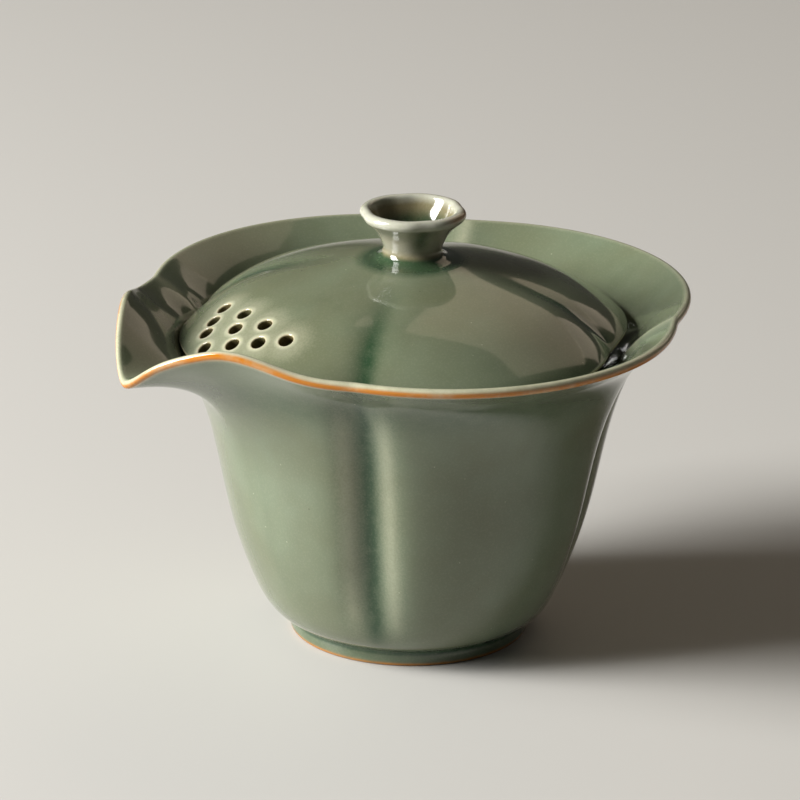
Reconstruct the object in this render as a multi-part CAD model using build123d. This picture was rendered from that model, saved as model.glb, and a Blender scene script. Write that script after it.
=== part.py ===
from build123d import *

import math
import os

# Four-lobed celadon gaiwan: a bowl with a pouring lip, a domed strainer lid and the lid's hollow knob.
# Millimetres. The origin is the centre of the foot ring on the table, +Z is up, and the pouring lip
# points along -X. Petal centres lie at 0, 90, 180 and 270 degrees, and the grooves half-way between.

# ---- Driving dimensions: bowl ----

RIM_PETAL_R = 53.2  # radius of the rim's outer edge at a petal's centre
RIM_GROOVE_R = 49.6  # the same at a groove
RIM_Z = 63.0  # height of the rim's outer edge
WALL = 2.7  # wall of the body
RIM_WALL = 1.8  # wall of the flared rim
THIN_Z = 53.0  # the wall is as thin as the rim from here up
THICK_Z = 33.0  # and as thick as the body from here down
FOOT_R = 22.4  # outside radius of the foot ring
FOOT_RING_WALL = 3.0
FOOT_RECESS = 1.9  # depth of the hollow inside the foot ring
FOOT_TOP = 3.2  # top of the foot ring, inside the belly
FOOT_ROUND = 0.5
FLOOR_Z = 6.0  # inside floor of the bowl

LIP_REACH = 7.4  # how far the pouring lip stands out past its petal
LIP_DIP = 5.4  # how far the lip's tip dips below the rim
LIP_SHOULDER = 3.75  # how far the rim rises on each side of the lip
LIP_WIDTH = 16.1  # degrees, the spread of the lip's reach
TIP_WIDTH = 5.8  # degrees, the spread of the dip at the tip
SHOULDER_AT = 20.0  # degrees from the lip's centre to the top of a shoulder
SHOULDER_INNER = 10.0  # degrees, the shoulder's spread towards the tip
SHOULDER_OUTER = 12.5  # degrees, the shoulder's spread away from the tip
LIP_ROOT_Z = 38.0  # height where the lip starts to grow out of the wall
REACH_POWER, DIP_POWER, SHOULDER_POWER = 2.6, 4, 7  # how late each of the three grows, up the wall

LOBE_ROOT_Z = 47.0  # height where the rim's four lobes start to spread
GROOVE_DEPTH = 2.2  # depth of the soft groove pressed into the body
GROOVE_HALF_WIDTH = 4.6
GROOVE_FADE_Z = 3.5  # the grooves fade to nothing here, just above the foot
GROOVE_FULL_Z = 22.0
CREASE = 2.0  # degrees, the soft bottom of a rim groove

# ---- Driving dimensions: lid and knob ----

LID_PETAL_R = 42.7  # lid's widest line at a petal's centre
LID_GROOVE_R = 39.2
LID_REACH = 1.6  # the lid's outline stands this far towards the lip, so that it covers the lip's root
LID_TURN = -3.0  # degrees, how the loose lid lies turned in the bowl
LID_LEAN = 4.0  # degrees, how far one hand-pressed groove of the lid stands out of line
LID_LEAN_AT, LID_LEAN_WIDTH = 225.0, 35.0  # which groove, and how far round the lean spreads
LID_EDGE_Z = 59.0  # height of the lid's widest line
LID_WALL = 2.2
LID_EDGE_WALL = 1.4
LID_TOP_Z = 72.2  # flat that carries the knob
LID_TOP_R = 8.6
LOBES_FROM = 0.2  # share of the lid's radius where its lobes start
LID_GROOVE_DEPTH = 0.5  # depth of the soft grooves pressed into the dome
LID_GROOVE_HALF_WIDTH = 3.5
LID_GROOVE_FROM_R, LID_GROOVE_FULL_R = 10.0, 30.0

HOLE_R = 1.35
# Rows of 1, 2, 3 and 4 strainer holes: distance from the axis, the row's shift to the right of the
# lip as seen when pouring, and the pitch along the row
HOLE_ROWS = [(42.0, 4.4, 0.0), (39.4, 3.5, 9.4), (36.8, 2.0, 8.0), (33.6, 0.6, 7.3)]

KNOB_R = 9.95
KNOB_GROOVE_DEPTH = 0.45  # the knob's rim is pressed into four lobes too
KNOB_GROOVE_WIDTH = 14.0  # degrees, the spread of each of its grooves
KNOB_TURN = 25.5  # degrees, the knob's lobes against the bowl's
KNOB_ROUND_R = 5.2  # the knob is round inside this radius

# ---- Outlines, each a smooth curve through (radius, height) ----

# Outer wall at a petal's centre, from the foot ring up to the rim's outer edge
BODY_PROFILE = [
    (21.4, 2.5),
    (25.0, 4.4),
    (29.9, 12.0),
    (33.8, 24.0),
    (38.0, 43.0),
    (43.9, 55.7),
    (48.2, 59.9),
    (RIM_PETAL_R, RIM_Z),
]
# Inside of the belly, below the part of the wall that follows the outside, down to the floor's centre
FLOOR_PROFILE = [(24.6, 10.4), (18.5, 7.1), (9.0, FLOOR_Z + 0.1), (1.0, FLOOR_Z)]
FOLLOW_FROM_Z = 15.0

# Lid's top, from the knob's flat out to the widest line
DOME_PROFILE = [
    (LID_TOP_R, LID_TOP_Z),
    (16.7, 70.6),
    (25.1, 68.6),
    (32.4, 65.9),
    (38.2, 62.5),
    (41.4, 60.2),
    (LID_PETAL_R, LID_EDGE_Z),
]

# Knob: glaze collar, neck and trumpet; thick rolled rim; hollow
KNOB_OUTSIDE = [
    (LID_TOP_R, LID_TOP_Z),
    (7.0, 72.55),
    (5.9, 73.3),
    (5.5, 74.3),
    (5.95, 75.8),
    (6.6, 77.1),
    (7.6, 78.4),
    (8.6, 79.3),
    (9.6, 80.15),
]
KNOB_RIM = [(9.6, 80.15), (KNOB_R, 80.9), (9.65, 81.7), (8.9, 82.0), (8.15, 81.75), (7.8, 81.1)]
KNOB_HOLLOW = [(7.8, 81.1), (7.4, 80.2), (6.6, 78.9), (5.4, 77.4), (3.2, 76.2), (0.8, 75.9)]

# Sample angles across half a petal, close together at the lip's tip and at the grooves
HALF_PETAL = [0, 2.5, 5.5, 9, 13.5, 18.5, 23.5, 28.5, 33, 37, 40, 42.6]
ANGLES = [
    petal + offset
    for petal in (0, 90, 180, 270)
    for offset in [-45] + [-a for a in HALF_PETAL[:0:-1]] + HALF_PETAL
]
KNOB_ANGLES = [7.5 * step for step in range(48)]


# ---- Shape of the lobes and of the lip ----


def clamp(value):
    return max(0.0, min(1.0, value))


def from_petal(angle):
    """Degrees from the nearest petal's centre, 0 to 45."""
    return abs((angle + 45) % 90 - 45)


def from_lip(angle):
    """Degrees from the pouring lip's centre, 0 to 180."""
    return abs(angle % 360 - 180)


def lobed_radius(angle, petal_r, groove_r):
    """Four equal arcs through the petals' centres and the grooves, with softened grooves."""
    corner = 45 - from_petal(angle)
    soft = (math.hypot(corner, CREASE) - CREASE) / (math.hypot(45, CREASE) - CREASE) * 45
    turn = math.radians(45 - soft)
    arc_r = petal_r**2 + groove_r**2 - math.sqrt(2) * petal_r * groove_r
    arc_r /= 2 * petal_r - math.sqrt(2) * groove_r
    arc_centre = petal_r - arc_r
    return arc_centre * math.cos(turn) + math.sqrt(arc_r**2 - (arc_centre * math.sin(turn)) ** 2)


def lip_reach(angle):
    return LIP_REACH * math.exp(-((from_lip(angle) / LIP_WIDTH) ** 1.5))


def lip_dip(angle):
    return LIP_DIP * math.exp(-((from_lip(angle) / TIP_WIDTH) ** 1.7))


def lip_shoulder(angle):
    turn = from_lip(angle) - SHOULDER_AT
    spread = SHOULDER_INNER if turn < 0 else SHOULDER_OUTER
    return LIP_SHOULDER * math.exp(-((turn / spread) ** 2))


def groove(angle, radius, height):
    """Depth of the soft groove in the body."""
    across = math.radians(45 - from_petal(angle)) * radius / GROOVE_HALF_WIDTH
    fade = clamp((height - GROOVE_FADE_Z) / (GROOVE_FULL_Z - GROOVE_FADE_Z))
    return GROOVE_DEPTH * fade * math.exp(-(across**2))


def wall_point(angle, radius, height):
    """Where a point (radius, height) of the petal's profile goes at this angle."""
    lobes = clamp((height - LOBE_ROOT_Z) / (RIM_Z - LOBE_ROOT_Z)) ** 2
    lip = clamp((height - LIP_ROOT_Z) / (RIM_Z - LIP_ROOT_Z))
    inwards = lobes * (RIM_PETAL_R - lobed_radius(angle, RIM_PETAL_R, RIM_GROOVE_R))
    inwards += (1 - lobes) * groove(angle, radius, height)
    outwards = lip**REACH_POWER * lip_reach(angle)
    upwards = lip**SHOULDER_POWER * lip_shoulder(angle) - lip**DIP_POWER * lip_dip(angle)
    return radius - inwards + outwards, height + upwards


def polar(angle, radius, height):
    turn = math.radians(angle)
    return radius * math.cos(turn), radius * math.sin(turn), height


def lid_turn(angle):
    return LID_TURN + LID_LEAN * math.exp(-((((angle % 360) - LID_LEAN_AT) / LID_LEAN_WIDTH) ** 2))


def lid_point(angle, radius, height, inset=0.0):
    """A point of the dome's profile at this angle: the lobes and the lid's reach grow outwards."""
    lobes = clamp((radius / LID_PETAL_R - LOBES_FROM) / (1 - LOBES_FROM)) ** 3
    lobed = radius - inset + lobes * (lobed_radius(angle, LID_PETAL_R, LID_GROOVE_R) - LID_PETAL_R)
    across = math.radians(45 - from_petal(angle)) * radius / LID_GROOVE_HALF_WIDTH
    fade = clamp((radius - LID_GROOVE_FROM_R) / (LID_GROOVE_FULL_R - LID_GROOVE_FROM_R))
    height -= LID_GROOVE_DEPTH * fade * math.exp(-(across**2))
    x, y, z = polar(angle + lid_turn(angle), lobed, height)
    reach = clamp(2 * (radius - LID_TOP_R) / (LID_PETAL_R - LID_TOP_R))
    return x - LID_REACH * reach, y, z


# ---- Rings and skins ----


def ring(point_at, angles=ANGLES):
    """Closed smooth wire through point_at(angle) = (x, y, z) at every sample angle."""
    places = [(angle - angles[0]) / 360 for angle in angles] + [1.0]
    points = [Vector(*point_at(angle)) for angle in angles]
    return Wire([Edge.make_spline(points, periodic=True, parameters=places)])


def smooth(profile):
    return Spline([(radius, 0, height) for radius, height in profile])


def shares(count):
    return [i / count for i in range(count + 1)]


def closed_solid(*skins):
    """One solid from lofted skins that meet at shared rings, with a flat cap on the first and last ring."""
    faces = [face for rings in skins for face in Shell.make_loft(rings).faces()]
    caps = [Face(skins[0][0]), Face(skins[-1][-1])]
    return Solid(Shell(faces + caps))


# ---- Bowl ----

BODY_CURVE = smooth(BODY_PROFILE)
BODY_STEPS = 14


def outer_wall(angle, along):
    """The outer wall's point at this angle, and the directions inwards and up along the wall there."""
    step = 0.002 if along < 0.5 else -0.002
    here, there = BODY_CURVE @ along, BODY_CURVE @ (along + step)
    point = wall_point(angle, here.X, here.Z)
    beside = wall_point(angle, there.X, there.Z)
    rise_r, rise_z = (beside[0] - point[0]) / step, (beside[1] - point[1]) / step
    length = math.hypot(rise_r, rise_z)
    up = (rise_r / length, rise_z / length)
    return point, (-up[1], up[0]), up


def inner_wall(angle, along):
    point, inward, _ = outer_wall(angle, along)
    thick = clamp((THIN_Z - (BODY_CURVE @ along).Z) / (THIN_Z - THICK_Z))
    wall = RIM_WALL + (WALL - RIM_WALL) * thick
    return point[0] + inward[0] * wall, point[1] + inward[1] * wall


def rim_crest(angle):
    """Top of the rounded rim, half-way through the wall."""
    point, inward, up = outer_wall(angle, 1)
    half = RIM_WALL / 2
    return point[0] + (inward[0] + up[0]) * half, point[1] + (inward[1] + up[1]) * half


def make_bowl():
    levels = shares(BODY_STEPS)
    followed = [t for t in levels[::-1] if (BODY_CURVE @ t).Z > FOLLOW_FROM_Z]
    outside = [ring(lambda a, t=t: polar(a, *outer_wall(a, t)[0])) for t in levels]
    inside = [ring(lambda a, t=t: polar(a, *inner_wall(a, t))) for t in followed]
    rim = [outside[-1], ring(lambda a: polar(a, *rim_crest(a))), inside[0]]
    floor = [ring(lambda a, p=p: polar(a, *p)) for p in FLOOR_PROFILE]
    body = closed_solid(outside, rim, inside + floor)
    foot = Pos(0, 0, FOOT_TOP / 2) * Cylinder(FOOT_R, FOOT_TOP)
    foot -= Pos(0, 0, FOOT_RECESS / 2) * Cylinder(FOOT_R - FOOT_RING_WALL, FOOT_RECESS)
    foot = fillet(foot.edges().group_by(Axis.Z)[0], FOOT_ROUND)
    return body + foot


# ---- Lid ----

DOME_CURVE = smooth(DOME_PROFILE)
DOME_STEPS = 10


def lid_ring(point, wall=0.0):
    """Ring of the dome through a point of its profile, or of its underside, wall below."""
    return ring(lambda a: lid_point(a, point.X, point.Z - wall, wall * point.X / LID_PETAL_R))


def make_lid():
    dome = [DOME_CURVE @ t for t in shares(DOME_STEPS)]
    walls = [LID_WALL - (LID_WALL - LID_EDGE_WALL) * (p.X / LID_PETAL_R) ** 6 for p in dome]
    top = [lid_ring(p) for p in dome]
    under = [lid_ring(p, wall) for p, wall in zip(dome[::-1], walls[::-1])]
    edge_in, edge_down = 0.3 * LID_EDGE_WALL, 0.7 * LID_EDGE_WALL
    edge = ring(lambda a: lid_point(a, LID_PETAL_R, LID_EDGE_Z - edge_down, edge_in))
    return closed_solid(top, [top[-1], edge, under[0]], under) - strainer_holes()


def strainer_holes():
    """Round holes square to the dome, in a triangle that points at the pouring lip."""
    holes = []
    for row, (distance, shift, pitch) in enumerate(HOLE_ROWS):
        for place in range(row + 1):
            x, y = -distance, shift + (place - row / 2) * pitch
            radius = math.hypot(x + LID_REACH, y)
            on_dome = min(shares(400), key=lambda t: abs((DOME_CURVE @ t).X - radius))
            height, fall = (DOME_CURVE @ on_dome).Z, DOME_CURVE % on_dome
            slope = math.degrees(math.atan2(-fall.Z, fall.X))
            facing = math.degrees(math.atan2(y, x + LID_REACH))
            square_on = Pos(x, y, height) * Rot(0, 0, facing) * Rot(0, slope, 0)
            holes.append(square_on * Cylinder(HOLE_R, 4 * LID_WALL))
    return holes


# ---- Knob ----


def knob_ring(radius, height):
    """The soft lobes grow with the radius, and the glaze collar at the bottom is round."""
    lobes = clamp((radius - KNOB_ROUND_R) / (KNOB_R - KNOB_ROUND_R))
    lobes *= KNOB_GROOVE_DEPTH * clamp((height - LID_TOP_Z - 1) / 2)

    def point_at(angle):
        off_groove = (45 - from_petal(angle - KNOB_TURN)) / KNOB_GROOVE_WIDTH
        return polar(angle, radius - lobes * math.exp(-(off_groove**2)), height)

    return ring(point_at, KNOB_ANGLES)


def make_knob():
    skins = []
    for profile, steps in ((KNOB_OUTSIDE, 10), (KNOB_RIM, 8), (KNOB_HOLLOW, 8)):
        curve = smooth(profile)
        skins.append([knob_ring((curve @ t).X, (curve @ t).Z) for t in shares(steps)])
    return closed_solid(*skins)


os.makedirs("parts", exist_ok=True)
for name, shape in {"bowl": make_bowl(), "lid": make_lid(), "lid_knob": make_knob()}.items():
    export_step(shape, f"parts/{name}.step")
    print(name, "valid" if shape.is_valid else "NOT VALID", round(shape.volume), "mm3")
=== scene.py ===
import math

import bpy
import numpy as np
from mathutils import Matrix, Vector


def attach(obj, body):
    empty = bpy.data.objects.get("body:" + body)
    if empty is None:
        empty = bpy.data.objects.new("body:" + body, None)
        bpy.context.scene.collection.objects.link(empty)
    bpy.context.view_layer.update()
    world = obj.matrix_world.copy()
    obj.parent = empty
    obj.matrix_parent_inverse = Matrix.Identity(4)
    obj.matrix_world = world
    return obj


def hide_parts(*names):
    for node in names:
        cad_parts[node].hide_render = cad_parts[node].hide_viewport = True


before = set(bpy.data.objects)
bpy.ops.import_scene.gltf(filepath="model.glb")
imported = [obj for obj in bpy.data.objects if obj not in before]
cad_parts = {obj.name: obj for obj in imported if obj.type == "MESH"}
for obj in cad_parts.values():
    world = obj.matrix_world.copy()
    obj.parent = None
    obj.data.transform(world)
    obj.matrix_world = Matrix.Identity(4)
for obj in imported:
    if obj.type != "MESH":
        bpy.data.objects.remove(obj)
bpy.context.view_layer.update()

# Under the bowl's flare the colour is darkened as painted shade, and beside its grooves it is lightened
# as painted highlight.
# Four-lobed celadon gaiwan. Shapes are worked out in millimetres in the part's own frame and become
# metres in build_mesh. The pouring lip points along -X, petal centres lie at 0, 90, 180 and 270 degrees,
# and the grooves half-way between. The glaze is thin and pale on edges, and deep green where it pools.
# A wall is a grid of rows, from one end of its outline to the other, and of columns round the axis.

MM = 0.001

# ---- Dimensions, millimetres and degrees ----

RIM_PETAL_R, RIM_GROOVE_R, RIM_Z = 53.2, 49.6, 63.0
WALL, RIM_WALL, THIN_Z, THICK_Z = 2.7, 1.8, 53.0, 33.0
LIP_REACH, LIP_DIP, LIP_SHOULDER = 7.4, 5.4, 3.75
LIP_WIDTH, TIP_WIDTH = 16.1, 5.8
SHOULDER_AT, SHOULDER_INNER, SHOULDER_OUTER = 20.0, 10.0, 12.5
LIP_ROOT_Z, REACH_POWER, DIP_POWER, SHOULDER_POWER = 38.0, 2.6, 4, 7
LOBE_ROOT_Z, GROOVE_DEPTH, GROOVE_HALF_WIDTH, GROOVE_FADE_Z, GROOVE_FULL_Z = 47.0, 2.2, 4.6, 3.5, 22.0
CREASE = 2.0
LID_PETAL_R, LID_GROOVE_R, LID_REACH, LID_EDGE_Z = 42.7, 39.2, 1.6, 59.0
LID_TURN, LID_LEAN, LID_LEAN_AT, LID_LEAN_WIDTH = -3.0, 4.0, 225.0, 35.0
LID_WALL, LID_EDGE_WALL, LID_TOP_Z, LID_TOP_R, LOBES_FROM = 2.2, 1.4, 72.2, 8.6, 0.2
LID_GROOVE_DEPTH, LID_GROOVE_HALF_WIDTH, LID_GROOVE_FROM_R, LID_GROOVE_FULL_R = 0.5, 3.5, 10.0, 30.0
LID_EDGE_BULGE = 0.8

# A hole's mouth is rounded, and the hole reaches HOLE_ZONE either way along its axis. Each row of holes
# has its distance from the bowl's axis towards the lip, its shift to the side and its pitch
HOLE_R, HOLE_ROUND, HOLE_ZONE = 1.35, 0.3, 5
MOUTH_R = HOLE_R + HOLE_ROUND
HOLE_ROWS = [(42.0, 4.4, 0.0), (39.4, 3.5, 9.4), (36.8, 2.0, 8.0), (33.6, 0.6, 7.3)]

KNOB_R, KNOB_GROOVE_DEPTH, KNOB_GROOVE_WIDTH, KNOB_TURN, KNOB_ROUND_R = 9.95, 0.45, 14.0, 25.5, 5.2
KNOB_LOBES_FROM, KNOB_LOBES_FADE = 1, 2

# Outlines through (radius, height)
RECESS = [(0.6, 1.9), (9.0, 1.9), (18.4, 1.9), (19.2, 1.75), (19.4, 1.35), (19.4, 0.5)]
RING_FOOT = [(19.4, 0.5), (19.5, 0.15), (19.9, 0.0), (21.9, 0.0), (22.3, 0.15), (22.4, 0.5)]
COVE = [(22.4, 0.5), (22.4, 1.4), (22.35, 2.0), (22.3, 2.5), (22.5, 2.9), (23.1, 3.3), (24.1, 3.8)]
BODY = [
    (21.4, 2.5), (25.0, 4.4), (29.9, 12.0), (33.8, 24.0),
    (38.0, 43.0), (43.9, 55.7), (48.2, 59.9), (RIM_PETAL_R, RIM_Z),
]
FLOOR = [(24.6, 10.4), (18.5, 7.1), (9.0, 6.1), (1.0, 6.0)]
FOLLOW_FROM_Z, BELLY_FROM_Z = 15.0, 4.0
DOME = [
    (LID_TOP_R, LID_TOP_Z), (16.7, 70.6), (25.1, 68.6), (32.4, 65.9),
    (38.2, 62.5), (41.4, 60.2), (LID_PETAL_R, LID_EDGE_Z),
]
KNOB_OUTSIDE = [
    (LID_TOP_R, LID_TOP_Z), (7.0, 72.55), (5.9, 73.3), (5.5, 74.3), (5.95, 75.8),
    (6.6, 77.1), (7.6, 78.4), (8.6, 79.3), (9.6, 80.15),
]
KNOB_RIM = [(9.6, 80.15), (KNOB_R, 80.9), (9.65, 81.7), (8.9, 82.0), (8.15, 81.75), (7.8, 81.1)]
KNOB_HOLLOW = [(7.8, 81.1), (7.4, 80.2), (6.6, 78.9), (5.4, 77.4), (3.2, 76.2), (0.6, 75.9)]

# ---- Mesh density ----

BOWL_COLUMNS, KNOB_COLUMNS = 480, 240
RIM_ROWS, LID_EDGE_ROWS = 13, 8

# Edges that turn by more than this stay sharp
SHARP_FROM = math.radians(60)

# Outlines are sampled at this many points. The bowl's walls and inside floor keep every third as a row
BODY_SAMPLES, FLOOR_SAMPLES, WALL_STEP = 420, 200, 3
RECESS_ROWS, RING_ROWS, COVE_ROWS = 16, 18, 16
KNOB_OUTSIDE_ROWS, KNOB_RIM_ROWS, KNOB_HOLLOW_ROWS = 70, 30, 50
DOME_SAMPLES, DOME_AXIS_SAMPLES = 1200, 800

# The lid's columns and rows are close together where the strainer holes are: in degrees either side of
# the lip, and outside a radius in millimetres. Its steps pick every 7th or every 40th sample
HOLES_LEFT, HOLES_RIGHT, HOLES_STEP, LID_FAR_COLUMNS = 28, 20, 0.3, 360
HOLES_FROM_R, LID_NEAR_STEP, LID_FAR_STEP = 29.5, 7, 40
MOUTH_TURNS = np.radians([22.5, 45, 67.5, 90])

# The inside floor's curve sets out from the inner wall's row this many from its end, and the floor's
# own rows start this far below the wall's last one, millimetres
LEAD_IN_ROWS, FLOOR_GAP = 12, 0.15

# ---- How the glaze lies, and where shade and highlight are painted, millimetres and strengths ----

# A pair is the stretch over which a look comes or goes. The crest is the top of a rounded rim, and a
# hole's halo and field reach outwards from its mouth. A look stronger than 1 is cut off there
GROOVE_POOL_WIDTH, GROOVE_POOL_Z, GROOVE_EASE_Z, GROOVE_EASE = 1.9, (3, 9), (54, 62), 0.35
COVE_POOL_Z, COVE_POOL_WIDTH, COVE_ROWS_BELOW, COVE_ROWS_ABOVE = 2.6, 0.9, 16, 12
FLOOR_POOL_Z, FLOOR_POOL = (6.5, 20), 0.85
# Painted shade: the outer wall just under the rim's flare is darkened towards deep green, as the flare
# shades it
FLARE_SHADE_Z, FLARE_SHADE_WIDTH, FLARE_SHADE = 57, 4.5, 0.50
RECESS_POOL_BELOW_Z, RECESS_POOL = 2.0, 0.45
RIM_INSIDE, RIM_INSIDE_THIN = (0.2, 1.8), 0.80
RIM_OUTSIDE, RIM_OUTSIDE_THIN = (1.3, 2.4), 0.70
RIDGE_WIDTH, RIDGE_Z, RIDGE_THIN = 1.6, (24, 50), 0.35
# Painted highlight: a pale band on both flanks of each groove outside, standing in for a reflection of
# the window
FLANK_AT, FLANK_WIDTH, FLANK_Z, FLANK_END_Z, FLANK_HIGHLIGHT = 3.9, 1.5, (5, 14), (50, 60), 0.24
RIM_RUST_BELOW, RIM_RUST_WIDTH, RIM_RUST = 0.80, 0.50, 1.7
LIP_RUST_BELOW, LIP_RUST_WIDTH, LIP_RUST, LIP_RUST_REACH, LIP_RUST_FADE = 0.40, 0.45, 1.1, 42, 16
RING_RUST_R, RING_RUST_Z, RING_RUST_WIDTH, RING_RUST = 22.35, 0.35, 0.28, 0.8
CLAY_FROM_R, CLAY_TO_R, CLAY_BELOW_Z = 19.45, 22.15, 0.3

LID_GROOVE_POOL_WIDTH, LID_GROOVE_POOL_R = 2.3, (10, 36)
COLLAR_POOL, COLLAR_POOL_REACH = 0.95, 2.4
LID_EDGE_POOL, LID_EDGE_POOL_R = 0.35, (40.0, 42.5)
HALO_THIN, HALO_FROM, HALO_TO = 0.66, -0.2, 1.5
FIELD_THIN, FIELD_FROM, FIELD_TO = 0.24, 0.5, 5.0
MOUTH_THIN, BORE_POOL, BORE_RUST = 0.85, 0.55, 0.15
EDGE_POOL, EDGE_THIN, EDGE_RUST, UNDERSIDE_POOL = 0.2, 0.55, 0.12, 0.4

KNOB_COLLAR_FROM, KNOB_COLLAR_TO = 0.9, 1.9
HOLLOW_POOL, HOLLOW_POOL_Z = 0.9, (77.6, 80.2)
FLUTE_POOL, FLUTE_POOL_Z, FLUTE_BELOW_CREST, FLUTE_KEEPS_OFF = 0.85, (74, 77), (2.0, 3.2), 0.9
ROLL_INSIDE, ROLL_OUTSIDE = (0.6, 2.6), (2.0, 3.6)
STEM_THIN, STEM_THIN_Z = 0.55, (73.6, 75.5)
KNOB_RUST, KNOB_RUST_BELOW, KNOB_RUST_WIDTH = 0.8, 1.2, 0.7
KNOB_RUST_TURN, KNOB_RUST_SIDE = 20, (0.3, 1.0)


# ---- Curves and lobes ----


def curve(points, count):
    """Smooth curve through points, as count points evenly spaced along it."""
    p = np.array(points, float)
    at = np.concatenate([[0], np.cumsum(np.linalg.norm(np.diff(p, axis=0), axis=1))])
    step, n = np.diff(at), len(p)
    system, right = np.zeros((n, n)), np.zeros((n, 2))
    system[0, 0] = system[-1, -1] = 1
    for i in range(1, n - 1):
        system[i, i - 1 : i + 2] = step[i - 1], 2 * (step[i - 1] + step[i]), step[i]
        right[i] = 6 * ((p[i + 1] - p[i]) / step[i] - (p[i] - p[i - 1]) / step[i - 1])
    bend = np.linalg.solve(system, right)
    t = np.linspace(0, at[-1], 3000)
    k = np.clip(np.searchsorted(at, t, "right") - 1, 0, n - 2)
    a = ((at[k + 1] - t) / step[k])[:, None]
    b = 1 - a
    fine = a * p[k] + b * p[k + 1]
    fine += ((a**3 - a) * bend[k] + (b**3 - b) * bend[k + 1]) * (step[k] ** 2 / 6)[:, None]
    along = np.concatenate([[0], np.cumsum(np.linalg.norm(np.diff(fine, axis=0), axis=1))])
    even = np.linspace(0, along[-1], count)
    return np.stack([np.interp(even, along, fine[:, c]) for c in (0, 1)], axis=1)


def from_petal(angle):
    """Degrees from the nearest petal's centre, 0 to 45."""
    return np.abs((angle + 45) % 90 - 45)


def from_lip(angle):
    """Degrees from the pouring lip's centre, 0 to 180."""
    return np.abs(angle % 360 - 180)


def lobed_radius(angle, petal_r, groove_r):
    """Four equal arcs through the petals' centres and the grooves, with softened grooves."""
    corner = 45 - from_petal(angle)
    soft = (np.hypot(corner, CREASE) - CREASE) / (math.hypot(45, CREASE) - CREASE) * 45
    turn = np.radians(45 - soft)
    arc_r = petal_r**2 + groove_r**2 - math.sqrt(2) * petal_r * groove_r
    arc_r /= 2 * petal_r - math.sqrt(2) * groove_r
    centre = petal_r - arc_r
    return centre * np.cos(turn) + np.sqrt(arc_r**2 - (centre * np.sin(turn)) ** 2)


def across_groove(angle, radius):
    """Distance from the nearest groove's line, millimetres."""
    return np.radians(45 - from_petal(angle)) * radius


def bell(value, width):
    return np.exp(-((value / width) ** 2))


def rise(value, low, high):
    """0 below low, 1 above high, smooth between."""
    t = np.clip((value - low) / (high - low), 0, 1)
    return t * t * (3 - 2 * t)


def wall_point(angle, radius, height):
    """Where points (radius, height) of the petal's outline go at these angles."""
    lobes = np.clip((height - LOBE_ROOT_Z) / (RIM_Z - LOBE_ROOT_Z), 0, 1) ** 2
    lip = np.clip((height - LIP_ROOT_Z) / (RIM_Z - LIP_ROOT_Z), 0, 1)
    fade = np.clip((height - GROOVE_FADE_Z) / (GROOVE_FULL_Z - GROOVE_FADE_Z), 0, 1)
    groove = GROOVE_DEPTH * fade * bell(across_groove(angle, radius), GROOVE_HALF_WIDTH)
    inwards = lobes * (RIM_PETAL_R - lobed_radius(angle, RIM_PETAL_R, RIM_GROOVE_R))
    inwards = inwards + (1 - lobes) * groove
    reach = LIP_REACH * np.exp(-((from_lip(angle) / LIP_WIDTH) ** 1.5))
    dip = LIP_DIP * np.exp(-((from_lip(angle) / TIP_WIDTH) ** 1.7))
    turn = from_lip(angle) - SHOULDER_AT
    shoulder = LIP_SHOULDER * bell(turn, np.where(turn < 0, SHOULDER_INNER, SHOULDER_OUTER))
    upwards = lip**SHOULDER_POWER * shoulder - lip**DIP_POWER * dip
    return radius - inwards + lip**REACH_POWER * reach, height + upwards


def polar(angle, radius, height):
    """Points (x, y, z), one for each angle, radius and height."""
    turn = np.radians(angle)
    return np.stack(
        np.broadcast_arrays(radius * np.cos(turn), radius * np.sin(turn), height), axis=-1
    )


# ---- Meshes ----


def build_mesh(name, points, faces, body, node, looks, material):
    """Shown piece from points in millimetres, riding on body in place of the CAD node."""
    mesh = bpy.data.meshes.new(name)
    mesh.from_pydata([tuple(p) for p in points * MM], [], faces)
    mesh.polygons.foreach_set("use_smooth", [True] * len(mesh.polygons))
    for look, values in looks.items():
        layer = mesh.attributes.new(look, "FLOAT", "POINT")
        layer.data.foreach_set("value", np.asarray(values, dtype=np.float32).ravel())
    mesh.validate()
    mesh.set_sharp_from_angle(angle=SHARP_FROM)
    piece = bpy.data.objects.new(name, mesh)
    bpy.context.scene.collection.objects.link(piece)
    piece.data.materials.append(material)
    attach(piece, body)
    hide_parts(node)
    return piece


def grid_faces(rows, columns):
    """Quads of a grid that closes on itself along its rows."""
    i, j = np.meshgrid(np.arange(rows - 1), np.arange(columns), indexing="ij")
    nxt = (j + 1) % columns
    quads = [i * columns + j, i * columns + nxt, (i + 1) * columns + nxt, (i + 1) * columns + j]
    return np.stack(quads, axis=-1)


def along_rows(points):
    """Distance along each column, from the first row."""
    steps = np.linalg.norm(np.diff(points, axis=0), axis=-1)
    return np.concatenate([np.zeros((1, points.shape[1])), np.cumsum(steps, axis=0)])


def capped(points, quads):
    """Closes a grid's first and last row, and returns its points and faces as lists."""
    rows, columns = points.shape[:2]
    flat = points.reshape(-1, 3)
    first, last = points[0].mean(axis=0), points[-1].mean(axis=0)
    start = (rows - 1) * columns
    low, high = len(flat), len(flat) + 1
    caps = [(low, (j + 1) % columns, j) for j in range(columns)]
    caps += [(high, start + j, start + (j + 1) % columns) for j in range(columns)]
    return np.vstack([flat, first, last]), quads.reshape(-1, 4).tolist() + caps


def with_caps(values):
    """A look's values for a capped grid."""
    return np.concatenate([values.ravel(), [values[0].mean(), values[-1].mean()]])


def capped_looks(looks):
    """Every look's values for a capped grid, kept from 0 to 1."""
    return {key: with_caps(np.clip(values, 0, 1)) for key, values in looks.items()}


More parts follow.
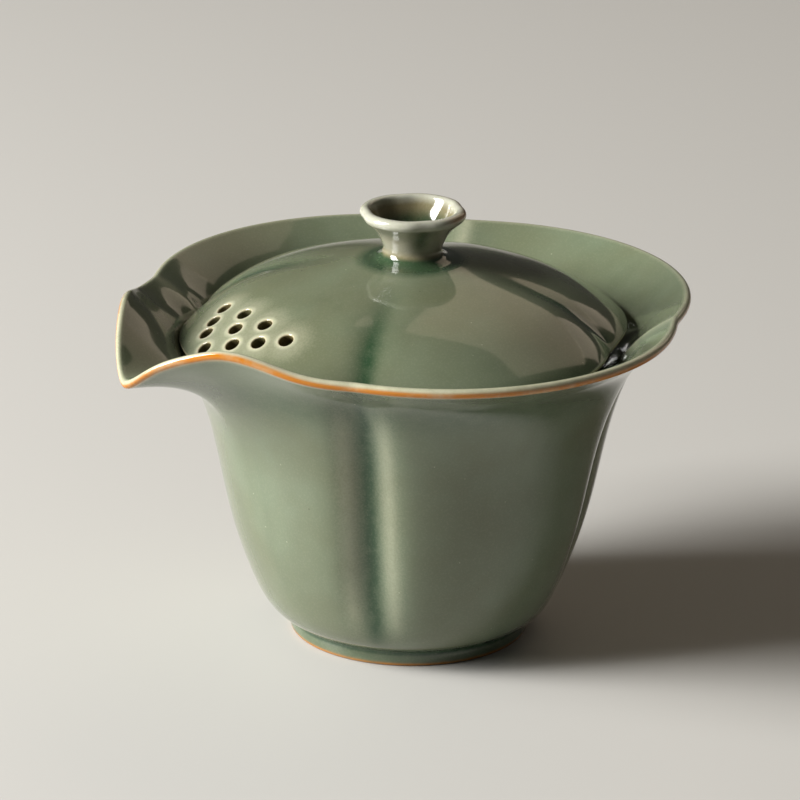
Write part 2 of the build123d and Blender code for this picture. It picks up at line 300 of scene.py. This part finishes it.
def drop_loose(points, faces, looks):
    """The same mesh without the points that no face uses."""
    used = np.zeros(len(points), bool)
    used[[corner for face in faces for corner in face]] = True
    place = np.cumsum(used) - 1
    faces = [tuple(int(place[corner]) for corner in face) for face in faces]
    return points[used], faces, {key: value[used] for key, value in looks.items()}


# ---- Materials ----


class Nodes:
    """Short way to wire a material's nodes."""

    def __init__(self, name):
        self.material = bpy.data.materials.new(name)
        self.material.use_nodes = True
        self.tree = self.material.node_tree
        self.shader = self.tree.nodes["Principled BSDF"]

    def add(self, kind, inputs=(), **settings):
        """New node with its settings, and with its inputs linked or set."""
        node = self.tree.nodes.new(kind)
        for key, value in settings.items():
            setattr(node, key, value)
        for key, value in dict(inputs).items():
            self.put(node.inputs[key], value)
        return node

    def put(self, socket, value):
        """Links a socket to another, or gives it a constant."""
        if isinstance(value, bpy.types.NodeSocket):
            self.tree.links.new(value, socket)
        else:
            socket.default_value = value

    def look(self, name):
        """One of the looks that build_mesh stores on the mesh."""
        return self.add("ShaderNodeAttribute", attribute_name=name).outputs["Fac"]

    def noise(self, scale, detail, rough, stretch=(1, 1, 1), shift=(0, 0, 0)):
        """Noise from 0 to 1, scale in cells per metre."""
        place = self.add("ShaderNodeTexCoord").outputs["Object"]
        place = self.add(
            "ShaderNodeMapping", {"Vector": place, "Scale": stretch, "Location": shift}
        ).outputs[0]
        noise = self.add(
            "ShaderNodeTexNoise",
            {"Vector": place, "Scale": scale, "Detail": detail, "Roughness": rough},
        )
        return noise.outputs["Fac"]

    def specks(self, scale, size, share):
        """1 on small round specks, 0 elsewhere. share is how many of the cells have one."""
        place = self.add("ShaderNodeTexCoord").outputs["Object"]
        cells = self.add("ShaderNodeTexVoronoi", {"Vector": place, "Scale": scale})
        dot = self.ramp(cells.outputs["Distance"], size, size * 0.5)
        pick = self.add("ShaderNodeSeparateColor", {"Color": cells.outputs["Color"]})
        return self.math("MULTIPLY", dot, self.ramp(pick.outputs[0], 1 - share, 1 - share + 0.02))

    def math(self, kind, a, b, clamp=False):
        return self.add("ShaderNodeMath", {0: a, 1: b}, operation=kind, use_clamp=clamp).outputs[0]

    def ramp(self, value, low, high, to_low=0.0, to_high=1.0):
        """Smooth step from to_low at low to to_high at high."""
        node = self.add(
            "ShaderNodeMapRange",
            {"Value": value, "From Min": low, "From Max": high, "To Min": to_low, "To Max": to_high},
            interpolation_type="SMOOTHSTEP",
        )
        return node.outputs["Result"]

    def mix(self, share, a, b):
        """Colour a where share is 0, colour b where it is 1."""
        node = self.add("ShaderNodeMix", data_type="RGBA")
        self.put(node.inputs["Factor"], share)
        for socket, value in zip([s for s in node.inputs if s.type == "RGBA"], (a, b)):
            self.put(socket, value)
        return [s for s in node.outputs if s.type == "RGBA"][0]

    def set(self, **values):
        """Values for the shader's own sockets. An underscore stands for a space in their names."""
        for key, value in values.items():
            self.put(self.shader.inputs[key.replace("_", " ")], value)


SAGE = (0.157, 0.192, 0.128, 1)
OLIVE = (0.118, 0.130, 0.074, 1)
DEEP = (0.018, 0.050, 0.022, 1)
CREAM = (0.500, 0.490, 0.355, 1)
RUST = (0.430, 0.145, 0.004, 1)
IRON_SPECK = (0.05, 0.04, 0.02, 1)
CLAY = (0.330, 0.220, 0.130, 1)
CLAY_GRAIN = (0.20, 0.13, 0.08, 1)
LID_SAGE = (0.140, 0.166, 0.107, 1)
LID_OLIVE = (0.112, 0.118, 0.066, 1)
KNOB_SAGE = (0.200, 0.190, 0.115, 1)
KNOB_OLIVE = (0.160, 0.122, 0.060, 1)
KNOB_CREAM = (0.400, 0.400, 0.330, 1)


def glaze_color(n, sage, olive, cream):
    """Cloudy sage and olive, deep green where it pools and as painted shade, cream where it thins and as
    painted highlight, rust on bare edges.
    """
    cloud = n.noise(34, 3, 0.55)
    streak = n.noise(70, 3, 0.6, stretch=(1, 1, 0.16))
    color = n.mix(n.ramp(cloud, 0.32, 0.70, 0.25, 0.95), olive, sage)
    color = n.mix(n.ramp(streak, 0.45, 0.80, 0, 0.16), color, DEEP)

    # The looks end in ragged borders
    ragged = n.ramp(n.noise(420, 4, 0.6), 0.25, 0.75, -0.14, 0.14)
    fine = n.ramp(n.noise(2600, 2, 0.6), 0.30, 0.70, -0.04, 0.04)
    # Deep green also stands for painted shade under the bowl's flare, and cream for a painted highlight
    # beside its grooves
    pool_and_shade = n.math("ADD", n.look("pool_and_shade"), n.math("MULTIPLY", ragged, n.look("pool_and_shade")), True)
    color = n.mix(n.math("MULTIPLY", pool_and_shade, 0.92), color, DEEP)
    thin_and_highlight = n.math("ADD", n.look("thin_and_highlight"), n.math("MULTIPLY", ragged, n.look("thin_and_highlight")), True)
    color = n.mix(n.math("ADD", thin_and_highlight, fine, True), color, cream)
    patchy = n.ramp(n.noise(110, 4, 0.7, shift=(3, 1, 2)), 0.30, 0.58, 0.55, 1.0)
    color = n.mix(n.math("MULTIPLY", n.look("rust"), patchy, True), color, RUST)

    color = n.mix(n.math("MULTIPLY", n.specks(700, 0.13, 0.06), 0.35), color, cream)
    return n.mix(n.math("MULTIPLY", n.specks(560, 0.11, 0.04), 0.55), color, IRON_SPECK)


def celadon(name, sage=SAGE, olive=OLIVE, cream=CREAM):
    """Glossy celadon glaze. The mesh's looks say where it pools, thins, rusts and bares the clay, and
    where shade and highlight are painted.
    """
    n = Nodes(name)
    color = glaze_color(n, sage, olive, cream)

    # Bare clay is sandy and dull
    grain = n.noise(5200, 3, 0.7)
    clay = n.look("clay")
    color = n.mix(clay, color, n.mix(n.ramp(grain, 0.3, 0.7), CLAY, CLAY_GRAIN))
    gloss = n.ramp(n.noise(900, 3, 0.6), 0.2, 0.8, 0.07, 0.13)
    rough = n.math("ADD", gloss, n.math("MULTIPLY", clay, 0.6), True)

    # The gloss swells softly, and has pinholes
    swell = n.math("MULTIPLY", n.noise(75, 2, 0.4), 0.5)
    pits = n.math("MULTIPLY", n.specks(640, 0.10, 0.12), -0.2)
    relief = n.math("ADD", swell, n.math("MULTIPLY", grain, 0.004))
    relief = n.math("ADD", relief, pits)
    bump = n.add("ShaderNodeBump", {"Strength": 0.10, "Distance": 0.0012, "Height": relief})
    n.set(
        Base_Color=color,
        Roughness=rough,
        Normal=bump.outputs[0],
        IOR=1.46,
        Coat_Weight=0.3,
        Coat_Roughness=0.03,
        Subsurface_Weight=0.12,
        Subsurface_Radius=(0.0012, 0.0016, 0.0009),
        Subsurface_Scale=1.0,
    )
    return n.material


# ---- Bowl ----


def bowl_walls(angle):
    """Outer wall, rounded rim and inner wall, each as one (radius, height) pair of grids."""
    outline = curve(BODY, BODY_SAMPLES)
    outline = outline[outline[:, 1] > BELLY_FROM_Z][::WALL_STEP]
    outline[-1] = RIM_PETAL_R, RIM_Z
    at_r, at_z = outline[:, :1], outline[:, 1:]
    outer = np.stack(wall_point(angle, at_r, at_z))
    up = np.gradient(outer, axis=1)
    up = up / np.hypot(*up)
    inwards = np.stack([-up[1], up[0]])
    thick = np.clip((THIN_Z - at_z) / (THIN_Z - THICK_Z), 0, 1)
    inner = outer + inwards * (RIM_WALL + (WALL - RIM_WALL) * thick)

    turns = np.radians(np.linspace(0, 180, RIM_ROWS + 2)[1:-1])[:, None]
    over = inwards[:, -1:] * (1 - np.cos(turns)) + up[:, -1:] * np.sin(turns)
    rim = outer[:, -1:] + RIM_WALL / 2 * over
    return outer, rim, inner[:, at_z[:, 0] > FOLLOW_FROM_Z][:, ::-1]


def bowl_floor(inner):
    """Inside floor: it leaves the inner wall along its own curve, and its lobes fade to the middle."""
    wall_end = inner[:, -1]
    outline = curve([tuple(inner[:, -LEAD_IN_ROWS, 0]), tuple(wall_end[:, 0])] + FLOOR, FLOOR_SAMPLES)
    outline = outline[outline[:, 1] < wall_end[1, 0] - FLOOR_GAP][::WALL_STEP]
    outline[-1] = FLOOR[-1]
    lobes = (wall_end - wall_end[:, :1])[:, None]
    fade = np.linspace(1, 0, len(outline))[:, None] ** 2
    return outline.T[:, :, None] + fade * lobes


def bowl_foot():
    """Recess, foot ring and cove, the same all round."""
    recess, ring, cove = curve(RECESS, RECESS_ROWS), curve(RING_FOOT, RING_ROWS), curve(COVE, COVE_ROWS)
    outline = np.vstack([recess, ring[1:], cove[1:-1]])
    return np.repeat(outline.T[:, :, None], BOWL_COLUMNS, axis=2)


def bowl_pool_and_shade(height, across, foot, wall, inside, near_cove):
    """Deep green where the glaze pools: in the grooves, the cove, the bottom inside and in the recess of
    the foot. Under the flare it is painted shade.
    """
    groove = bell(across, GROOVE_POOL_WIDTH) * rise(height, *GROOVE_POOL_Z)
    groove = groove * (1 - GROOVE_EASE * rise(height, *GROOVE_EASE_Z))
    pool_and_shade = np.where(foot | wall, groove, 0)
    pool_and_shade = np.maximum(pool_and_shade, near_cove * bell(height - COVE_POOL_Z, COVE_POOL_WIDTH))
    pool_and_shade = np.maximum(pool_and_shade, inside * FLOOR_POOL * (1 - rise(height, *FLOOR_POOL_Z)))
    # Painted shade under the flare, not pooled glaze
    pool_and_shade = np.maximum(pool_and_shade, wall * FLARE_SHADE * bell(height - FLARE_SHADE_Z, FLARE_SHADE_WIDTH))
    return np.where(foot & (height < RECESS_POOL_BELOW_Z), RECESS_POOL, pool_and_shade)


def bowl_thin_and_highlight(height, across, past, inside):
    """Thin glaze on the rim and on the ridges inside, which the grooves leave. The pale band on both
    flanks of each groove is a painted highlight.
    """
    within = RIM_INSIDE_THIN * (1 - rise(past, *RIM_INSIDE))
    without = RIM_OUTSIDE_THIN * (1 - rise(-past, *RIM_OUTSIDE))
    ridge = bell(across, RIDGE_WIDTH) * inside * rise(height, *RIDGE_Z) * RIDGE_THIN
    # Painted highlight on the groove's flanks, not thin glaze
    flank_highlight = bell(across - FLANK_AT, FLANK_WIDTH) * ~inside * rise(height, *FLANK_Z)
    flank_highlight = flank_highlight * (1 - rise(height, *FLANK_END_Z)) * FLANK_HIGHLIGHT
    return np.maximum(np.maximum(np.where(inside, within, without), ridge), flank_highlight)


def bowl_rust(angle, radius, height, past, foot):
    """Just outside the rim's crest, closer to it near the lip, and on the foot ring's outer edge."""
    rim = bell(-past - RIM_RUST_BELOW, RIM_RUST_WIDTH) * RIM_RUST * ~foot
    near_lip = rise(LIP_RUST_REACH - from_lip(angle), 0, LIP_RUST_FADE)
    lip = near_lip * bell(-past - LIP_RUST_BELOW, LIP_RUST_WIDTH) * LIP_RUST
    from_edge = np.hypot(radius - RING_RUST_R, height - RING_RUST_Z)
    ring = bell(from_edge, RING_RUST_WIDTH) * foot
    return np.maximum(np.maximum(rim, lip), RING_RUST * ring)


def bowl_looks(angle, radius, height, points, start):
    """How the glaze lies, and where shade and highlight are painted. start is the first row of the foot,
    outer wall, rim, inner wall and floor.
    """
    row = np.arange(len(points))[:, None]
    foot, wall = row < start[1], (row >= start[1]) & (row < start[2])
    near_cove = (row > start[1] - COVE_ROWS_BELOW) & (row < start[1] + COVE_ROWS_ABOVE)
    crest = (start[2] + start[3]) // 2
    inside = row >= crest
    past = along_rows(points)
    past = past - past[crest]
    across = across_groove(angle, np.maximum(radius, 1))
    clay = foot & (radius > CLAY_FROM_R) & (radius < CLAY_TO_R) & (height < CLAY_BELOW_Z)
    return {
        "pool_and_shade": bowl_pool_and_shade(height, across, foot, wall, inside, near_cove),
        "thin_and_highlight": bowl_thin_and_highlight(height, across, past, inside),
        "rust": bowl_rust(angle, radius, height, past, foot),
        "clay": clay.astype(float),
    }


def make_bowl():
    angle = np.arange(BOWL_COLUMNS) * 360 / BOWL_COLUMNS
    outer, rim, inner = bowl_walls(angle)
    skins = [bowl_foot(), outer, rim, inner, bowl_floor(inner)]
    start = np.cumsum([0] + [skin.shape[1] for skin in skins])
    radius, height = np.concatenate(skins, axis=1)
    points = polar(angle, radius, height)
    looks = capped_looks(bowl_looks(angle, radius, height, points, start))
    flat, faces = capped(points, grid_faces(*points.shape[:2]))
    return build_mesh(
        "bowl_glazed", flat, faces, "bowl", "bowl", looks, celadon("celadon_bowl")
    )


# ---- Lid ----


def lid_points(angle, radius, height, inset):
    """Where points (radius, height) of the dome's outline go at these angles."""
    lobes = np.clip((radius / LID_PETAL_R - LOBES_FROM) / (1 - LOBES_FROM), 0, 1) ** 3
    edge = lobed_radius(angle, LID_PETAL_R, LID_GROOVE_R) - LID_PETAL_R
    fade = (radius - LID_GROOVE_FROM_R) / (LID_GROOVE_FULL_R - LID_GROOVE_FROM_R)
    groove = bell(across_groove(angle, radius), LID_GROOVE_HALF_WIDTH) * np.clip(fade, 0, 1)
    height = height - LID_GROOVE_DEPTH * groove
    turned = angle + LID_TURN + LID_LEAN * bell(angle % 360 - LID_LEAN_AT, LID_LEAN_WIDTH)
    points = polar(turned, radius - inset + lobes * edge, height)
    reach = np.clip(2 * (radius - LID_TOP_R) / (LID_PETAL_R - LID_TOP_R), 0, 1)
    points[..., 0] -= LID_REACH * reach
    return points


def hole_axes():
    """Each strainer hole's place on the dome and the direction square to it."""
    dome = curve(DOME, DOME_AXIS_SAMPLES)
    axes = []
    for row, (distance, shift, pitch) in enumerate(HOLE_ROWS):
        for place in range(row + 1):
            x, y = -distance, shift + (place - row / 2) * pitch
            out = np.array([x + LID_REACH, y])
            k = int(np.argmin(np.abs(dome[:, 0] - np.linalg.norm(out))))
            fall = dome[min(k + 2, len(dome) - 1)] - dome[k - 2]
            out = out / np.linalg.norm(out)
            normal = np.array([-fall[1] * out[0], -fall[1] * out[1], fall[0]])
            axes.append((np.array([x, y, dome[k, 1]]), normal / np.linalg.norm(normal)))
    return axes


FAR = 1e3  # more than any distance in the part


def pierce(points, axes, radius):
    """Distance from the nearest hole's axis, with points inside a hole moved out to its edge."""
    nearest = np.full(points.shape[:-1], FAR)
    for centre, normal in axes:
        rel = points - centre
        flat = rel - (rel @ normal)[..., None] * normal
        away = np.linalg.norm(flat, axis=-1)
        away = np.where(np.abs(rel @ normal) < HOLE_ZONE, away, FAR)
        nearest = np.minimum(nearest, away)
        inside = away < radius
        grow = np.where(inside, radius - away, 0) / np.maximum(away, 1e-6)
        points = points + flat * grow[..., None]
    return points, nearest


def lid_grid():
    """Angles of the lid's columns, and its rows along the dome's outline."""
    lip = 180 - LID_TURN
    near = np.arange(lip - HOLES_LEFT, lip + HOLES_RIGHT, HOLES_STEP)
    far = np.linspace(lip + HOLES_RIGHT, lip + 360 - HOLES_LEFT, LID_FAR_COLUMNS, endpoint=False)
    dome = curve(DOME, DOME_SAMPLES)
    middle = dome[dome[:, 0] < HOLES_FROM_R][::LID_FAR_STEP]
    outer = dome[dome[:, 0] >= HOLES_FROM_R][::LID_NEAR_STEP]
    return np.concatenate([near, far]) % 360, np.vstack([middle, outer, [DOME[-1]]])


def lid_surfaces(angle, outline, axes):
    """Pierced top and underside, and how far each point of the top is from the nearest hole's axis."""
    radius, height = outline[:, :1], outline[:, 1:]
    share = radius / LID_PETAL_R
    wall = LID_WALL - (LID_WALL - LID_EDGE_WALL) * share**6
    top, away = pierce(lid_points(angle, radius, height, 0), axes, MOUTH_R)
    under, _ = pierce(lid_points(angle, radius, height - wall, wall * share), axes, MOUTH_R)
    return top, under, away


def lid_edge(top, under):
    """Rounded edge, from the top's last row down to the underside's."""
    turns = np.radians(np.linspace(0, 180, LID_EDGE_ROWS + 2)[1:-1])[:, None, None]
    middle, half = (top[-1] + under[-1]) / 2, (top[-1] - under[-1]) / 2
    level = top[-1] - top[-2]
    level = level / np.linalg.norm(level, axis=-1, keepdims=True) * LID_EDGE_WALL / 2
    return middle + half * np.cos(turns) + LID_EDGE_BULGE * level * np.sin(turns)


def outer_edges(quads):
    """The edges round the outside of a set of quads."""
    sides = {(int(a), int(b)) for quad in quads for a, b in zip(quad, np.roll(quad, -1))}
    return [(a, b) for a, b in sides if (b, a) not in sides]


def bore_strand(top, under, axes):
    """Points of a hole's wall from top to under, rounded at both mouths, and how far the glaze thins
    there.
    """
    off = [np.linalg.norm(np.cross(top - centre, normal)) for centre, normal in axes]
    centre, normal = axes[int(np.argmin(off))]
    points, thin_and_highlight = [], []
    for surface, down in ((top, 1), (under, -1)):
        out = surface - centre
        out = out - (out @ normal) * normal
        out = out / np.linalg.norm(out)
        for turn in MOUTH_TURNS[::down]:
            pull = HOLE_ROUND * math.sin(turn) * out
            sink = HOLE_ROUND * (1 - math.cos(turn)) * down * normal
            points.append(surface - pull - sink)
            thin_and_highlight.append(MOUTH_THIN * math.cos(turn) * (down > 0))
    return points, thin_and_highlight


def bore_holes(flat, rows, columns, edges, axes):
    """Walls of all holes below the top's edges: new points, how far their glaze thins, and faces."""
    bore, bore_thin, faces, strands = [], [], [], {}
    for edge in edges:
        for start in edge:
            if start in strands:
                continue
            row, column = divmod(start, columns)
            end = (rows - 1 - row) * columns + column
            points, thin_and_highlight = bore_strand(flat[start], flat[end], axes)
            first = len(flat) + len(bore)
            strands[start] = [start, *range(first, first + len(points)), end]
            bore += points
            bore_thin += thin_and_highlight
        left, right = strands[edge[0]], strands[edge[1]]
        faces += [(left[k], right[k], right[k + 1], left[k + 1]) for k in range(len(left) - 1)]
    return np.array(bore), np.array(bore_thin), faces


def lid_looks(angle, outline, away, bore_thin):
    """How the glaze lies, from the top's rows over the edge to the underside's, then in the holes."""
    radius = np.repeat(outline[:, :1], len(angle), axis=1)
    groove = bell(across_groove(angle, radius), LID_GROOVE_POOL_WIDTH)
    groove = groove * rise(radius, *LID_GROOVE_POOL_R)
    collar = 1 - rise(radius, LID_TOP_R, LID_TOP_R + COLLAR_POOL_REACH)
    near_edge = LID_EDGE_POOL * rise(radius, *LID_EDGE_POOL_R)

    # The glaze is thin round each hole, and a little over the whole field of holes
    halo = 1 - rise(away, MOUTH_R + HALO_FROM, MOUTH_R + HALO_TO)
    field = FIELD_THIN * (1 - rise(away, MOUTH_R + FIELD_FROM, MOUTH_R + FIELD_TO))
    pool_and_shade = np.maximum(np.maximum(groove, COLLAR_POOL * collar), near_edge) * (1 - halo)
    thin_and_highlight = np.maximum(halo * HALO_THIN, field)

    plain, edge = 0 * away, np.zeros((LID_EDGE_ROWS, len(angle)))
    pool_and_shade = np.concatenate([pool_and_shade, edge + EDGE_POOL, pool_and_shade[::-1] * UNDERSIDE_POOL])
    thin_and_highlight = np.concatenate([thin_and_highlight, edge + EDGE_THIN, thin_and_highlight[::-1]])
    rust = np.concatenate([plain, edge + EDGE_RUST, plain])
    return {
        "pool_and_shade": np.concatenate([with_caps(pool_and_shade), BORE_POOL - BORE_POOL * bore_thin]),
        "thin_and_highlight": np.concatenate([with_caps(thin_and_highlight), bore_thin]),
        "rust": np.concatenate([with_caps(rust), BORE_RUST + 0 * bore_thin]),
        "clay": np.concatenate([with_caps(0 * rust), 0 * bore_thin]),
    }


def make_lid():
    axes = hole_axes()
    angle, outline = lid_grid()
    top, under, away = lid_surfaces(angle, outline, axes)
    points = np.concatenate([top, lid_edge(top, under), under[::-1]])
    rows, columns = points.shape[:2]

    # Quads that lie inside a hole go, and their outline on the top is the hole's edge
    quads = grid_faces(rows, columns)
    open_at = np.zeros((rows, columns), bool)
    open_at[: len(top)] = away < MOUTH_R
    open_at[-len(top) :] = open_at[: len(top)][::-1]
    gone = open_at.ravel()[quads].all(axis=-1)
    flat, faces = capped(points, quads[~gone])
    removed = quads[: len(top) - 1][gone[: len(top) - 1]]
    bore, bore_thin, walls = bore_holes(flat, rows, columns, outer_edges(removed), axes)

    looks = lid_looks(angle, outline, away, bore_thin)
    flat, faces, looks = drop_loose(np.vstack([flat, bore]), faces + walls, looks)
    glaze = celadon("celadon_lid", sage=LID_SAGE, olive=LID_OLIVE)
    return build_mesh("lid_glazed", flat, faces, "lid", "lid", looks, glaze)


# ---- Knob ----


def knob_looks(angle, height, points, groove):
    """How the glaze lies, up the outside, over the rolled rim and down into the hollow."""
    crest = int(np.argmax(height[:, 0]))
    past = along_rows(points)
    past = past - past[crest]
    inside = past > 0
    collar = 1 - rise(height, LID_TOP_Z + KNOB_COLLAR_FROM, LID_TOP_Z + KNOB_COLLAR_TO)
    deep = HOLLOW_POOL * (1 - rise(height, *HOLLOW_POOL_Z))
    flute = FLUTE_POOL * groove * rise(height, *FLUTE_POOL_Z) * rise(-past, *FLUTE_BELOW_CREST)
    roll = np.where(inside, 1 - rise(past, *ROLL_INSIDE), 1 - rise(-past, *ROLL_OUTSIDE))
    stem = STEM_THIN * rise(height, *STEM_THIN_Z) * ~inside
    side = rise(np.cos(np.radians(angle + KNOB_RUST_TURN)), *KNOB_RUST_SIDE)
    return {
        "pool_and_shade": np.where(inside, deep, np.maximum(collar, flute)),
        "thin_and_highlight": np.maximum(roll, stem) * (1 - FLUTE_KEEPS_OFF * flute),
        "rust": bell(-past - KNOB_RUST_BELOW, KNOB_RUST_WIDTH) * side * KNOB_RUST,
        "clay": 0 * height,
    }


def knob_outline():
    """Outline from the lid's top up the outside, over the rolled rim and down into the hollow."""
    outside = curve(KNOB_OUTSIDE, KNOB_OUTSIDE_ROWS)
    rim, hollow = curve(KNOB_RIM, KNOB_RIM_ROWS), curve(KNOB_HOLLOW, KNOB_HOLLOW_ROWS)
    return np.vstack([outside, rim[1:], hollow[1:]])


def make_knob():
    angle = np.arange(KNOB_COLUMNS) * 360 / KNOB_COLUMNS
    outline = knob_outline()
    at_r, at_z = outline[:, :1], outline[:, 1:]
    lobes = np.clip((at_r - KNOB_ROUND_R) / (KNOB_R - KNOB_ROUND_R), 0, 1)
    above = np.clip((at_z - LID_TOP_Z - KNOB_LOBES_FROM) / KNOB_LOBES_FADE, 0, 1)
    groove = bell(45 - from_petal(angle - KNOB_TURN), KNOB_GROOVE_WIDTH)
    radius = at_r - lobes * KNOB_GROOVE_DEPTH * above * groove
    height = np.repeat(at_z, KNOB_COLUMNS, axis=1)
    points = polar(angle, radius, height)
    looks = capped_looks(knob_looks(angle, height, points, groove))
    flat, faces = capped(points, grid_faces(*points.shape[:2]))
    glaze = celadon("celadon_knob", sage=KNOB_SAGE, olive=KNOB_OLIVE, cream=KNOB_CREAM)
    return build_mesh("knob_glazed", flat, faces, "lid", "lid_knob", looks, glaze)


# ---- Set ----


FLOOR_REACH = 8.0  # metres
FLOOR_COLOR = (0.51, 0.50, 0.48, 1)


def make_floor():
    mesh = bpy.data.meshes.new("floor")
    reach = FLOOR_REACH
    corners = [(-reach, -reach, 0), (reach, -reach, 0), (reach, reach, 0), (-reach, reach, 0)]
    mesh.from_pydata(corners, [], [(0, 1, 2, 3)])
    floor = bpy.data.objects.new("floor", mesh)
    bpy.context.scene.collection.objects.link(floor)
    n = Nodes("pale_floor")
    n.set(Base_Color=FLOOR_COLOR, Roughness=0.6)
    floor.data.materials.append(n.material)


# Degrees and millimetres. TARGET_RIGHT counts from the axis to the camera's right
CAMERA_AZIMUTH, CAMERA_ELEVATION, CAMERA_ROLL = -32.6, 19.6, 0.557
CAMERA_DISTANCE, CAMERA_LENS, CAMERA_SENSOR = 915.6, 221.1, 36
TARGET_RIGHT, TARGET_Z = -2.06, 44.4


def view_axes(azimuth, elevation):
    """The camera's right, up and back directions."""
    a, e = math.radians(azimuth), math.radians(elevation)
    right = Vector((math.cos(a), math.sin(a), 0))
    back = Vector((math.sin(a) * math.cos(e), -math.cos(a) * math.cos(e), math.sin(e)))
    return right, back.cross(right), back


def make_camera():
    right, up, back = view_axes(CAMERA_AZIMUTH, CAMERA_ELEVATION)
    target = right * TARGET_RIGHT + Vector((0, 0, TARGET_Z))
    roll = math.radians(CAMERA_ROLL)
    x = right * math.cos(roll) + up * math.sin(roll)
    y = up * math.cos(roll) - right * math.sin(roll)
    data = bpy.data.cameras.new("camera")
    data.lens, data.sensor_width = CAMERA_LENS, CAMERA_SENSOR
    data.clip_start, data.clip_end = 0.01, 50
    camera = bpy.data.objects.new("camera", data)
    place = (target + back * CAMERA_DISTANCE) * MM
    camera.matrix_world = Matrix((x, y, back)).transposed().to_4x4()
    camera.matrix_world.translation = place
    bpy.context.scene.collection.objects.link(camera)
    bpy.context.scene.camera = camera


# Metres, watts
LIGHT_AIM = Vector((0, 0, 0.05))
WINDOW = {"distance": 1.5, "size": (0.65, 1.0), "power": 68, "color": (1.0, 0.99, 0.96)}
CEILING = {"distance": 1.8, "size": (1.2, 1.2), "power": 3.2, "color": (1.0, 0.80, 0.58)}
LOW_CARD = {"distance": 1.8, "size": (0.5, 0.42), "power": 0.5, "color": (1.0, 0.82, 0.62)}
ROOM_COLOR, ROOM_STRENGTH = (0.86, 0.84, 0.78, 1), 0.065


def softbox(name, azimuth, elevation, distance, size, power, color):
    """Rectangular soft light at degrees from the camera's azimuth, aimed at the object."""
    _, _, back = view_axes(CAMERA_AZIMUTH + azimuth, elevation)
    data = bpy.data.lights.new(name, "AREA")
    data.shape = "RECTANGLE"
    data.size, data.size_y = size
    data.energy, data.color = power, color
    light = bpy.data.objects.new(name, data)
    light.location = LIGHT_AIM + back * distance
    light.rotation_euler = back.to_track_quat("Z", "Y").to_euler()
    bpy.context.scene.collection.objects.link(light)


def make_lights():
    """A window on the left, and warm lights behind that show in the lid and inside the lip."""
    softbox("window_left", azimuth=-78, elevation=25, **WINDOW)
    softbox("ceiling_behind", azimuth=150, elevation=46, **CEILING)
    softbox("low_behind", azimuth=144, elevation=21, **LOW_CARD)
    world = bpy.data.worlds.new("studio")
    world.use_nodes = True
    background = world.node_tree.nodes["Background"].inputs
    background["Color"].default_value = ROOM_COLOR
    background["Strength"].default_value = ROOM_STRENGTH
    bpy.context.scene.world = world
    bpy.context.scene.view_settings.view_transform = "Standard"


make_bowl()
make_lid()
make_knob()
make_floor()
make_camera()
make_lights()
